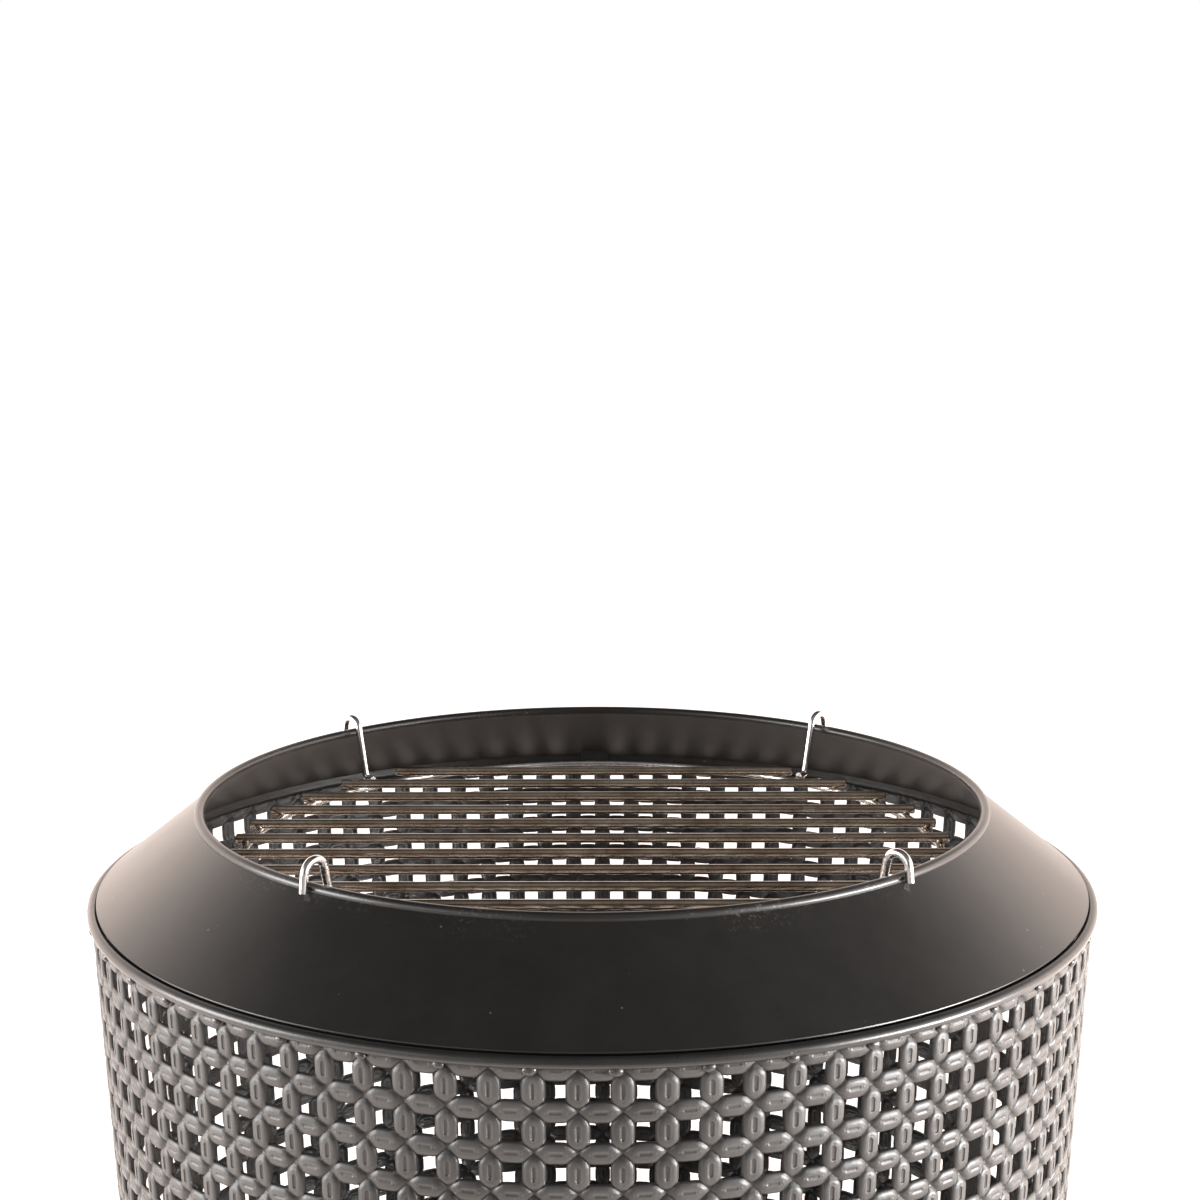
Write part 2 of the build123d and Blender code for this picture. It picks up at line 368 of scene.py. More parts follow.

# painted highlight and painted shade on the petals: crests and lips are painted lighter, valleys, slots and
# hollows darker, and a band just under the top ring darker
petalLightAndShade = dict(
    highlightTone=(0.17, 0.165, 0.16, 1), crestHighlight=0.30, crestFrom=0.72, lips=0.18,
    shadeTone=(0.012, 0.011, 0.0105, 1), hollow=0.5, valleyShadeBelow=0.30,
    joint=1.6, jointLow=1.3 * mm, jointHigh=0.5 * mm,
)


def addPetalPaintedLight(tree, colour, grain, marks):
    look = petalLightAndShade
    crest = linkNew(tree, "ShaderNodeAttribute", attribute_name="crest").outputs["Fac"]
    # painted highlight: crests are painted lighter, patchy by the paint's cloud
    crestHighlight = addMath(tree, "MULTIPLY", addRange(tree, crest, look["crestFrom"], 1.0),
                     addRange(tree, grain.outputs["Rough"], 0.35, 0.9))
    colour = addMix(tree, addMath(tree, "MULTIPLY", crestHighlight, look["crestHighlight"]), colour, look["highlightTone"])
    # painted shade: valleys between petals, slots and hollows are painted darker
    valley = addRange(tree, crest, look["valleyShadeBelow"], 0.0)
    hollow = addMath(tree, "MAXIMUM", valley, marks.outputs["Hollow"])
    # painted shade: a band of the wall just under the top ring is painted darker
    height = addSplit(tree, linkNew(tree, "ShaderNodeTexCoord").outputs["Object"])["Z"]
    joint = addRange(tree, height, wallHigh[2] - look["jointLow"], wallHigh[2] - look["jointHigh"])
    hollow = addMath(tree, "MAXIMUM", hollow, addMath(tree, "MULTIPLY", joint, look["joint"]))
    colour = addMix(tree, addMath(tree, "MULTIPLY", hollow, look["hollow"]), colour, look["shadeTone"])
    # painted highlight: the lips round the slots and the dots are painted lighter
    lips = addMath(tree, "MULTIPLY", marks.outputs["Lip"], look["lips"])
    return addMix(tree, lips, colour, look["highlightTone"])


def makePaint(name, look, onPetals=False):
    material, tree, shader = startMaterial(name, 0.0, look["rough"][0])
    scales = dict(zip(("Grain Scale", "Cloud Scale", "Lump Scale"), look["scales"]))
    amounts = dict(zip(("Grain Amount", "Cloud Amount", "Lump Amount"), look["amounts"]))
    grain = addGroup(tree, paintGrain, **scales, **amounts)
    colour = addMix(tree, grain.outputs["Tone"], look["dark"], look["light"])
    if onPetals:
        marks = addGroup(tree, petalMarks, **{
            "Columns": float(wallForm["columns"]), "Pitch": cellPitch,
            "Top": wallHigh[2] - wallForm["topEdge"], "Phase": wallForm["phase"]})
        # painted highlight and painted shade over the petals' paint
        colour = addPetalPaintedLight(tree, colour, grain, marks)
    dustNode = addGroup(tree, dust, **{
        "Film": look["film"], "Speck Size": look["speck"],
        "Band Low": look["band"][0], "Band High": look["band"][1]})
    dusty = addMath(tree, "MAXIMUM", dustNode.outputs["Specks"], dustNode.outputs["Film"])
    dusty = addMath(tree, "MAXIMUM", dusty, dustNode.outputs["Band"])
    colour = addMix(tree, addMath(tree, "MULTIPLY", dusty, dustLook["amount"]), colour, dustLook["tone"])
    tree.links.new(colour, shader.inputs["Base Color"])
    rough = addRange(tree, grain.outputs["Rough"], 0.0, 1.0, *look["rough"])
    tree.links.new(rough, shader.inputs["Roughness"])
    grit = addMath(tree, "MULTIPLY", dustNode.outputs["Specks"], dustLook["grit"])
    skinHeight = addMath(tree, "ADD", grain.outputs["Height"], grit)
    skin = addBump(tree, shader, skinHeight, look["bump"], skinDepth)
    if onPetals:
        pressed = addBump(tree, shader, marks.outputs["Height"], 1.0, wallForm["markDepth"])
        tree.links.new(pressed.outputs[0], skin.inputs["Normal"])
        tree.links.new(skin.outputs[0], shader.inputs["Normal"])
    return material


# base and stain are the ends of the tone, lines the scale of the drawn lines along the stretched axis
steels = {
    "grateSteel": dict(base=(0.66, 0.56, 0.46, 1), stain=(0.34, 0.26, 0.19, 1), metallic=0.95,
                       rough=(0.07, 0.14), stretch=(0.02, 1.0, 1.0), lines=900.0, stainScale=42.0,
                       soot=0.45, bump=0.08),
    "weldSteel": dict(base=(0.20, 0.16, 0.12, 1), stain=(0.08, 0.06, 0.05, 1), metallic=0.9,
                      rough=(0.28, 0.42), stretch=(1.0, 1.0, 1.0), lines=600.0, stainScale=300.0,
                      soot=0.6, bump=0.2),
    "brightWire": dict(base=(0.84, 0.83, 0.84, 1), stain=(0.66, 0.64, 0.61, 1), metallic=1.0,
                       rough=(0.08, 0.15), stretch=(1.0, 1.0, 0.05), lines=700.0, stainScale=90.0,
                       soot=0.15, bump=0.04),
}


sootTone = (0.035, 0.030, 0.026, 1)
lineDepth = 0.2 * mm


def makeSteel(name, look):
    material, tree, shader = startMaterial(name, look["metallic"], look["rough"][0])
    drawn = addGroup(tree, drawnSteel, **{
        "Stretch": look["stretch"], "Line Scale": look["lines"], "Stain Scale": look["stainScale"]})
    stained = addMix(tree, drawn.outputs["Stain"], look["base"], look["stain"])
    streak = addRange(tree, drawn.outputs["Lines"], 0.3, 0.7, 0.82, 1.08)
    colour = addMix(tree, 1.0, stained, streak, "MULTIPLY")
    sooty = addMath(tree, "MULTIPLY", drawn.outputs["Soot"], look["soot"])
    colour = addMix(tree, sooty, colour, sootTone)
    tree.links.new(colour, shader.inputs["Base Color"])
    rough = addRange(tree, drawn.outputs["Lines"], 0.3, 0.7, *look["rough"])
    rough = addMath(tree, "ADD", rough, addMath(tree, "MULTIPLY", sooty, 0.3))
    tree.links.new(rough, shader.inputs["Roughness"])
    addBump(tree, shader, drawn.outputs["Lines"], look["bump"], lineDepth)
    return material


drumPaint = makePaint("drumPaint", paints["drumPaint"])
# the petal paint is the drum paint with painted highlight and painted shade
petalPaint = makePaint("petalPaint", paints["drumPaint"], onPetals=True)
collarPaint = makePaint("collarPaint", paints["collarPaint"])
floorPaint = makePaint("floorPaint", paints["floorPaint"])
weldPaint = makePaint("weldPaint", paints["weldPaint"])
ringPaint = makePaint("ringPaint", paints["ringPaint"])
collarInside = makePaint("collarInside", paints["collarInside"])
grateSteel = makeSteel("grateSteel", steels["grateSteel"])
weldSteel = makeSteel("weldSteel", steels["weldSteel"])
brightWire = makeSteel("brightWire", steels["brightWire"])
print("materials built")


def setMaterial(thing, material):
    thing.data.materials.clear()
    thing.data.materials.append(material)


for name, node in nodes.items():
    if name.startswith("grate_bar"):
        setMaterial(node, grateSteel)
    elif name.startswith("hook") or name in ("grate_ring", "rim_wire"):
        setMaterial(node, brightWire)
    elif name.startswith("floor") or name == "fire_floor":
        setMaterial(node, floorPaint)
    elif name.startswith("collar"):
        setMaterial(node, collarPaint)
    elif name.endswith("ring"):
        setMaterial(node, ringPaint)
    else:
        setMaterial(node, drumPaint)


def addGeometry(tree, kind, links=(), **values):
    node = linkNew(tree, kind, **values)
    for label, source in links:
        if isinstance(source, (int, float, tuple, bool)):
            node.inputs[label].default_value = source
        else:
            tree.links.new(source, node.inputs[label])
    return node


def startTree(name, inputs):
    tree = bpy.data.node_groups.new(name, "GeometryNodeTree")
    for label, kind, value in inputs:
        socket = tree.interface.new_socket(name=label, in_out="INPUT", socket_type=kind)
        if value is not None:
            socket.default_value = value
    tree.interface.new_socket(name="Geometry", in_out="OUTPUT", socket_type="NodeSocketGeometry")
    return tree, linkNew(tree, "NodeGroupInput").outputs, linkNew(tree, "NodeGroupOutput").inputs


# pushes a surface in and out by a soft noise, shades it smooth and gives it its material
def finishUneven(tree, surface, scale, detail, amount, material):
    swell = addGeometry(tree, "ShaderNodeTexNoise", (("Scale", scale), ("Detail", detail)))
    push = addMath(tree, "MULTIPLY", addMath(tree, "SUBTRACT", swell.outputs["Fac"], 0.5), amount)
    shove = linkNew(tree, "ShaderNodeVectorMath", operation="SCALE")
    tree.links.new(linkNew(tree, "GeometryNodeInputNormal").outputs[0], shove.inputs[0])
    tree.links.new(push, shove.inputs["Scale"])
    uneven = addGeometry(tree, "GeometryNodeSetPosition", (
        ("Geometry", surface), ("Offset", shove.outputs[0])))
    smooth = addGeometry(tree, "GeometryNodeSetShadeSmooth", (("Geometry", uneven.outputs[0]),))
    painted = addGeometry(tree, "GeometryNodeSetMaterial", (
        ("Geometry", smooth.outputs[0]), ("Material", material)))
    return painted.outputs[0]


# an object's modifiers are worked into a plain mesh, and the object goes away
def takeMesh(thing):
    depsgraph = bpy.context.evaluated_depsgraph_get()
    mesh = bpy.data.meshes.new_from_object(thing.evaluated_get(depsgraph), depsgraph=depsgraph)
    bpy.data.objects.remove(thing)
    return mesh


# the thickness is laid on behind the sheet's outer face
def addThickness(thing, thickness):
    solid = thing.modifiers.new("thickness", "SOLIDIFY")
    solid.thickness = thickness
    solid.offset = -1


# a modifier's inputs are set by identifier before its first evaluation
def runTree(name, tree, mesh, values):
    maker = placeObject(name + "Maker", mesh)
    modifier = maker.modifiers.new("maker", "NODES")
    modifier.node_group = tree
    names = {item.name: item.identifier for item in tree.interface.items_tree if item.in_out == "INPUT"}
    for label, value in values.items():
        modifier[names[label]] = value
    finished = takeMesh(maker)
    finished.name = name
    return finished


def newPiece(name, mesh, body, slotName, *stands):
    piece = placeObject(name, mesh)
    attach(piece, body)
    if stands:
        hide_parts(*stands)
    return piece


# a petal's height as a share of its full height: upright and level by the distance along the petal
# from its middle, in cells, and across by the share of the way from its axis to its edge
cellForm = dict(
    upright={0.15: 1.0, 0.245: 0.97, 0.335: 0.80, 0.41: 0.08, 0.5: -0.15},
    level={0.15: 1.0, 0.245: 0.94, 0.335: 0.76, 0.41: 0.40, 0.5: -0.15},
    across=((0.0, 0.96), (0.20, 1.0), (0.80, 0.80), (1.0, 0.05)),
    slotHalf=0.2,             # half the length of the slot pressed into a petal's top, in cells
)


# one square cell of unit pitch: four half petals round a hole, petal axes on the cell's border
def makeCell():
    form = wallForm
    upright, level, across = cellForm["upright"], cellForm["level"], cellForm["across"]
    along = sorted([-distance for distance in upright] + list(upright))
    corner = form["holeCorner"]
    mesh = bmesh.new()
    # a corner's share of the petal's height, kept to place the painted highlight and painted shade
    crest = mesh.verts.layers.float.new("crest")
    for side in range(4):
        turn = Matrix.Rotation(side * math.pi / 2, 3, "Z")
        ridge, half, slot = ((level, form["levelHalf"], form["slotLevel"]) if side % 2 == 0 else
                             (upright, form["uprightHalf"], form["slotUpright"]))
        grid = []
        for distance in along:
            away = abs(distance)
            reach = 0.5 - away
            if away < corner:
                reach = 0.5 - corner + (half - 0.5 + corner) * (1 - (distance / corner) ** 2)
            column = []
            for step, lift in across:
                height = ridge[away] * lift if reach > 0 else ridge[0.5]
                sunk = slot if step == 0.0 and away < cellForm["slotHalf"] else 0.0
                spot = turn @ Vector((distance, -0.5 + step * reach, 0))
                vert = mesh.verts.new((spot.x, spot.y, (height * form["petalHeight"] - sunk) / cellPitch))
                vert[crest] = max(height, 0.0)
                column.append(vert)
            grid.append(column)
        for left, right in zip(grid, grid[1:]):
            for k in range(len(across) - 1):
                mesh.faces.new((left[k], right[k], right[k + 1], left[k + 1]))
    bmesh.ops.remove_doubles(mesh, verts=mesh.verts, dist=0.0005)
    for face in mesh.faces:
        face.smooth = True
    cell = bpy.data.meshes.new("petalCell")
    mesh.to_mesh(cell)
    mesh.free()
    return cell


# lays the cells out flat, then rolls the sheet into the tapered drum
def buildRolledSheet():
    tree, given, result = startTree("rolledSheet", [
        ("Cell", "NodeSocketObject", None), ("Columns", "NodeSocketInt", 86), ("Rows", "NodeSocketInt", 18),
        ("Pitch", "NodeSocketFloat", 0.0183), ("Top Radius", "NodeSocketFloat", 0.25),
        ("Top Height", "NodeSocketFloat", 0.377), ("Taper", "NodeSocketFloat", 0.05),
        ("Phase", "NodeSocketFloat", 0.0), ("Waviness", "NodeSocketFloat", 0.0002),
        ("Material", "NodeSocketMaterial", None)])

    def calc(operation, first, second):
        return addMath(tree, operation, first, second)

    width = calc("MULTIPLY", given["Pitch"], calc("SUBTRACT", given["Columns"], 1))
    drop = calc("MULTIPLY", given["Pitch"], calc("SUBTRACT", given["Rows"], 1))
    centres = addGeometry(tree, "GeometryNodeMeshGrid", (
        ("Size X", width), ("Size Y", drop),
        ("Vertices X", given["Columns"]), ("Vertices Y", given["Rows"])))
    cell = addGeometry(tree, "GeometryNodeObjectInfo", (("Object", given["Cell"]),))
    laid = addGeometry(tree, "GeometryNodeInstanceOnPoints", (
        ("Points", centres.outputs["Mesh"]), ("Instance", cell.outputs["Geometry"]),
        ("Scale", given["Pitch"])))
    flat = addGeometry(tree, "GeometryNodeRealizeInstances", (("Geometry", laid.outputs[0]),))
    spot = addSplit(tree, linkNew(tree, "GeometryNodeInputPosition").outputs[0])
    wholeWidth = calc("MULTIPLY", given["Pitch"], given["Columns"])
    turned = calc("MULTIPLY", calc("DIVIDE", spot[0], wholeWidth), 2 * math.pi)
    angle = calc("ADD", turned, given["Phase"])
    halfDrop = calc("MULTIPLY", calc("MULTIPLY", given["Pitch"], given["Rows"]), 0.5)
    fall = calc("SUBTRACT", spot[1], halfDrop)
    coneRadius = calc("ADD", given["Top Radius"], calc("MULTIPLY", given["Taper"], fall))
    radius = calc("ADD", coneRadius, spot[2])
    backwards = calc("MULTIPLY", radius, -1.0)
    rolled = linkNew(tree, "ShaderNodeCombineXYZ")
    tree.links.new(calc("MULTIPLY", radius, calc("SINE", angle, 0.0)), rolled.inputs[0])
    tree.links.new(calc("MULTIPLY", backwards, calc("COSINE", angle, 0.0)), rolled.inputs[1])
    tree.links.new(calc("ADD", fall, given["Top Height"]), rolled.inputs[2])
    drum = addGeometry(tree, "GeometryNodeSetPosition", (
        ("Geometry", flat.outputs[0]), ("Position", rolled.outputs[0])))
    merged = addGeometry(tree, "GeometryNodeMergeByDistance", (
        ("Geometry", drum.outputs[0]), ("Distance", 0.04 * mm)))
    sheet = finishUneven(tree, merged.outputs[0], 26.0, 2.0, given["Waviness"], given["Material"])
    tree.links.new(sheet, result[0])
    return tree


# cuts off what reaches over the sheet's top and bottom edges
def trimSheet(sheet, top, bottom):
    mesh = bmesh.new()
    mesh.from_mesh(sheet)
    for height, side in ((top, 1), (bottom, -1)):
        parts = mesh.verts[:] + mesh.edges[:] + mesh.faces[:]
        bmesh.ops.bisect_plane(mesh, geom=parts, dist=1e-6, plane_co=(0, 0, height), plane_no=(0, 0, side),
                               clear_outer=True)
    mesh.to_mesh(sheet)
    mesh.free()


# the whole wall is made at once, then cut between rows, keeping the whole wall's normals
def makeWall():
    form = wallForm
    cellObject = placeObject("petalCell", makeCell())
    overlap = cellPitch - form["topEdge"]
    sheet = runTree("pressedSheet", buildRolledSheet(), bpy.data.meshes.new("emptyStart"), {
        "Cell": cellObject, "Columns": form["columns"], "Rows": form["rows"] + 2, "Pitch": cellPitch,
        "Top Radius": topRadius + form["crest"] - form["petalHeight"] + wallTaper * overlap,
        "Top Height": wallHigh[2] + overlap, "Taper": wallTaper, "Phase": form["phase"] + math.pi,
        "Waviness": form["waviness"], "Material": petalPaint})
    bpy.data.objects.remove(cellObject)
    trimSheet(sheet, wallHigh[2] + form["tuck"], wallLow[2] - form["tuck"])
    thick = placeObject("pressedSheet", sheet)
    addThickness(thick, form["thickness"])
    whole = takeMesh(thick)
    spots = [vert.co.copy() for vert in whole.vertices]
    normals = [vert.normal.copy() for vert in whole.vertices]
    crests = [value.value for value in whole.attributes["crest"].data]
    bands = {}
    for face in whole.polygons:
        row = int((wallHigh[2] - form["topEdge"] - face.center.z) / cellPitch)
        band = min(max(row, 0), form["rows"] - 1) // form["bandRows"]
        bands.setdefault(band, []).append(tuple(face.vertices))
    for band, faces in sorted(bands.items()):
        used = sorted({index for face in faces for index in face})
        local = {index: place for place, index in enumerate(used)}
        mesh = bpy.data.meshes.new(f"petalWall{band + 1}")
        mesh.from_pydata([spots[i] for i in used], [], [[local[i] for i in face] for face in faces])
        crestValues = mesh.attributes.new("crest", "FLOAT", "POINT").data
        crestValues.foreach_set("value", [crests[i] for i in used])
        mesh.polygons.foreach_set("use_smooth", [True] * len(mesh.polygons))
        mesh.normals_split_custom_set_from_vertices([normals[i] for i in used])
        mesh.materials.append(petalPaint)
        newPiece(f"petalWall{band + 1}", mesh, "drum", "drum_paint", "drum_wall")
    bpy.data.meshes.remove(whole)
    print("wall made:", form["columns"] * form["rows"], "cells in", len(bands), "bands")


makeWall()


# closed ring from a closed outline of (radius, height), with a gentle unevenness; an edge that
# turns more than the sharp angle is shaded sharp
def spinOutline(name, outline, form, material):
    segments, uneven = form["segments"], form["uneven"]
    mesh = bmesh.new()
    loops = []
    for index in range(segments):
        turn = 2 * math.pi * index / segments
        loop = []
        for radius, height in outline:
            spot = polarSpot(turn, radius, height)
            shove = noise.noise(spot * uneven["scale"]) * uneven["amount"]
            share = shove / radius
            loop.append(mesh.verts.new(spot * (1 + share) - Vector((0, 0, height * share))))
        loops.append(loop)
    count = len(outline)
    for index, loop in enumerate(loops):
        after = loops[(index + 1) % segments]
        for k in range(count):
            mesh.faces.new((loop[k], after[k], after[(k + 1) % count], loop[(k + 1) % count]))
    bmesh.ops.recalc_face_normals(mesh, faces=mesh.faces)
    for face in mesh.faces:
        face.smooth = True
    for edge in mesh.edges:
        edge.smooth = edge.calc_face_angle(0.0) < math.radians(form["sharpAngle"])
    ring = bpy.data.meshes.new(name)
    mesh.to_mesh(ring)
    mesh.free()
    ring.materials.append(material)
    return ring


# the collar: a cone whose rim is curled inwards and leaves a narrow groove on its inner side, and
# whose foot has a thin lip that hangs inside the top ring and closes the gap above it
collarForm = dict(
    thickness=1.2 * mm, curl=5.0 * mm, curlSteps=26,
    groove=0.9 * mm, grooveTurn=38,       # depth, and degrees round the curl
    grooveEdge=0.06, grooveEnd=0.4 * mm,  # radians to the groove's floor, and length below the curl
    footRound=0.35 * mm,
    lipDrop=1.9 * mm, lipThickness=0.6 * mm, lipInset=0.7 * mm, lipSlope=(0.1 * mm, 0.2 * mm),
    slopeShares=(0.0, 0.2, 0.4, 0.6, 0.8, 0.97, 1.0),
    segments=400, sharpAngle=38, uneven=dict(scale=14.0, amount=0.18 * mm),
)


def makeCollar():
    form = collarForm
    low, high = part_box("collar_shell")
    half = form["thickness"] / 2
    wireLow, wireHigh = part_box("rim_wire")
    wire = (wireHigh[2] - wireLow[2]) / 2
    rim = Vector(((wireHigh[0] - wireLow[0]) / 2 - wire, (wireLow[2] + wireHigh[2]) / 2))
    foot = Vector(((high[0] - low[0]) / 2, low[2]))
    # the foot's middle is moved until its outer corner lies on the shell's box
    for _ in range(4):
        down = (foot - rim).normalized()
        out = Vector((-down.y, down.x))
        foot = Vector(((high[0] - low[0]) / 2 - half * out.x, low[2] + half * out.y))
    bead = form["curl"] / 2
    meet = math.sqrt(bead * bead - half * half)
    edge = form["footRound"]
    inner = foot - out * half
    lip = inner.x - form["lipInset"]
    aside, below = form["lipSlope"]
    outline = [Vector((lip, inner.y - form["lipDrop"])), Vector((lip + aside, inner.y - below)),
               inner + out * edge, foot + out * (half - edge)]
    outerFoot = foot + out * half - down * edge
    outerRim = rim + down * meet + out * half
    for share in sorted((0.03, *form["slopeShares"])):
        outline.append(outerFoot.lerp(outerRim, share))
    start = math.atan2(outerRim.y - rim.y, outerRim.x - rim.x)
    innerRim = rim + down * meet - out * half
    finish = math.atan2(innerRim.y - rim.y, innerRim.x - rim.x)
    while finish < start:
        finish += 2 * math.pi
    finish -= math.radians(form["grooveTurn"])
    steps = form["curlSteps"]
    for index in range(1, steps + 1):
        turn = start + (finish - start) * index / steps
        outline.append(rim + bead * Vector((math.cos(turn), math.sin(turn))))
    for turn in (finish + form["grooveEdge"], finish + math.radians(form["grooveTurn"] * 0.75)):
        outline.append(rim + (bead - form["groove"]) * Vector((math.cos(turn), math.sin(turn))))
    innerFoot = inner - down * (inner.x - lip + form["lipThickness"]) / down.x
    for share in form["slopeShares"]:
        outline.append((innerRim + down * form["grooveEnd"]).lerp(innerFoot, share))
    outline.append(Vector((lip - form["lipThickness"], inner.y - form["lipDrop"])))
    mesh = spinOutline("collar", outline, form, collarPaint)
    mesh.materials.append(collarInside)
    # painted light: faces that look inwards and downwards take the lighter inside paint
    for face in mesh.polygons:
        outward = face.center.x * face.normal.x + face.center.y * face.normal.y
        face.material_index = int(outward < 0 and face.normal.z < -0.3)
    newPiece("collar", mesh, "collar", "collar_paint", "collar_shell")
    print("collar made:", len(outline), "points round its outline")


makeCollar()


# the lap strip behind the wall, bent to the drum's taper
seamForm = dict(width=20 * mm, gap=0.1 * mm, thickness=1.0 * mm, edgeRound=0.2 * mm, steps=8)


def makeSeam():
    form = seamForm
    low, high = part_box("seam_strip")
    azimuth = azimuthOf("seam_strip")
    inset = wallForm["petalHeight"] - wallForm["crest"] + wallForm["thickness"] + form["gap"]
    mesh = bmesh.new()
    rows = []
    for height in (low[2], high[2]):
        radius = topRadius - wallTaper * (wallHigh[2] - height) - inset
        spread = form["width"] / 2 / radius
        row = []
        for index in range(form["steps"] + 1):
            turn = azimuth - spread + 2 * spread * index / form["steps"]
            row.append(mesh.verts.new(polarSpot(turn, radius, height)))
        rows.append(row)
    for k in range(form["steps"]):
        mesh.faces.new((rows[0][k], rows[0][k + 1], rows[1][k + 1], rows[1][k]))
    sheet = bpy.data.meshes.new("lapSheet")
    mesh.to_mesh(sheet)
    mesh.free()
    strip = placeObject("lapSheet", sheet)
    addThickness(strip, form["thickness"])
    bevel = strip.modifiers.new("edges", "BEVEL")
    bevel.width = form["edgeRound"]
    bevel.segments = 2
    finished = takeMesh(strip)
    finished.materials.append(drumPaint)
    newPiece("lapStrip", finished, "drum", "drum_paint", "seam_strip")
    print("lap strip made")


makeSeam()


# small lumpy beads of weld, one at each point of the mesh it is given
def buildWeldBlobs():
    tree, given, result = startTree("weldBlobs", [
        ("Points", "NodeSocketGeometry", None), ("Size", "NodeSocketVector", (0.003, 0.002, 0.002)),
        ("Size Spread", "NodeSocketFloat", 0.3), ("Lumpiness", "NodeSocketFloat", 0.0006),
        ("Seed", "NodeSocketInt", 1), ("Material", "NodeSocketMaterial", None)])
    ball = addGeometry(tree, "GeometryNodeMeshIcoSphere", (("Radius", 1.0), ("Subdivisions", 2)))
    spot = addSplit(tree, linkNew(tree, "GeometryNodeInputPosition").outputs[0])
    azimuth = addMath(tree, "ARCTAN2", spot[0], addMath(tree, "MULTIPLY", spot[1], -1.0))
    turn = linkNew(tree, "ShaderNodeCombineXYZ")
    tree.links.new(azimuth, turn.inputs[2])
    low = addMath(tree, "SUBTRACT", 1.0, given["Size Spread"])
    high = addMath(tree, "ADD", 1.0, given["Size Spread"])
    chance = linkNew(tree, "FunctionNodeRandomValue", data_type="FLOAT")
    tree.links.new(low, chance.inputs[2])
    tree.links.new(high, chance.inputs[3])
    tree.links.new(given["Seed"], chance.inputs["Seed"])
    size = linkNew(tree, "ShaderNodeVectorMath", operation="SCALE")
    tree.links.new(given["Size"], size.inputs[0])
    tree.links.new(chance.outputs[1], size.inputs["Scale"])
    laid = addGeometry(tree, "GeometryNodeInstanceOnPoints", (
        ("Points", given["Points"]), ("Instance", ball.outputs["Mesh"]), ("Rotation", turn.outputs[0]),
        ("Scale", size.outputs[0])))
    real = addGeometry(tree, "GeometryNodeRealizeInstances", (("Geometry", laid.outputs[0]),))
    beads = finishUneven(tree, real.outputs[0], 420.0, 1.0, given["Lumpiness"], given["Material"])
    tree.links.new(beads, result[0])
    return tree


# size is a bead's half length, half depth and half height; out and up place it from its wire or edge
weldForm = {
    "ringTacks": dict(size=(2.9 * mm, 1.55 * mm, 2.1 * mm), out=0.95 * mm, up=-0.5 * mm, spread=0.16,
                      lumps=0.9 * mm, seed=3, wander=2.2 * mm),
    "footRingTacks": dict(size=(2.6 * mm, 1.5 * mm, 1.8 * mm), out=0.55 * mm, up=0.3 * mm, spread=0.30,
                          lumps=1.2 * mm, seed=5, wander=3.0 * mm),
    "footWelds": dict(size=(3.2 * mm, 1.7 * mm, 1.5 * mm), out=1.6 * mm, up=0.0, spread=0.20,
                      lumps=1.0 * mm, seed=7, wander=0.4 * mm),
    "barWelds": dict(size=(1.8 * mm, 1.8 * mm, 1.3 * mm), out=0.0, up=0.0, spread=0.25,
                     lumps=1.0 * mm, seed=9, wander=0.3 * mm),
    "hookWelds": dict(size=(2.6 * mm, 2.0 * mm, 1.6 * mm), out=0.0, up=0.2 * mm, spread=0.20,
                      lumps=1.0 * mm, seed=11, wander=0.3 * mm),
}
tackTurn = 0.9                # where a tack lies between two columns of petals, in columns
footBead = 4.2 * mm           # from one bead to the next along a foot's weld


def makeWelds(name, tree, places, body, slotName, material):
    form = weldForm[name]
    chance = random.Random(form["seed"])
    points = []
    for azimuth, radius, height in places:
        radius += form["out"]
        turn = azimuth + chance.uniform(-1, 1) * form["wander"] / radius
        points.append(polarSpot(turn, radius, height + form["up"]))
    mesh = bpy.data.meshes.new(name + "Points")
    mesh.from_pydata(points, [], [])
    blobs = runTree(name, tree, mesh, {
        "Size": form["size"], "Size Spread": form["spread"], "Lumpiness": form["lumps"],
        "Seed": form["seed"], "Material": material})
    newPiece(name, blobs, body, slotName)
    print(name, "made:", len(points), "beads")


def makeDrumWelds(tree):
    column = 2 * math.pi / wallForm["columns"]
    tacks = [wallForm["phase"] + (2 * index + tackTurn) * column
             for index in range(wallForm["columns"] // 2)]
    upper = [(turn, topRadius, wallHigh[2]) for turn in tacks]
    lower = [(turn, footRingRadius, wallLow[2]) for turn in tacks]
    feet = []
    for name in nodes:
        if name.startswith("foot_"):
            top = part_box(name)[1][2]
            for index in range(-3, 4):
                turn = azimuthOf(name) + index * footBead / footRingRadius
                feet.append((turn, footRingRadius, top))
    makeWelds("ringTacks", tree, upper, "drum", "drum_paint", weldPaint)
    makeWelds("footRingTacks", tree, lower, "drum", "drum_paint", weldPaint)
    makeWelds("footWelds", tree, feet, "drum", "drum_paint", weldPaint)


def makeGrateWelds(tree):
    low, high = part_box("grate_ring")
    radius = (high[0] - low[0] - (high[2] - low[2])) / 2
    crossings = []
    hookFeet = []
    for name in nodes:
        if name.startswith("grate_bar"):
            barLow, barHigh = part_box(name)
            middle = (barLow[1] + barHigh[1]) / 2
            sideways = math.sqrt(radius ** 2 - middle ** 2)
            for side in (-1, 1):
                crossings.append((math.atan2(side * sideways, -middle), radius, high[2]))
        elif name.startswith("hook"):
            hookFeet.append((azimuthOf(name), radius, high[2]))
    makeWelds("barWelds", tree, crossings, "grate", "grate_steel", weldSteel)
    makeWelds("hookWelds", tree, hookFeet, "grate", "bright_wire", weldSteel)


beadTree = buildWeldBlobs()
makeDrumWelds(beadTree)
makeGrateWelds(beadTree)


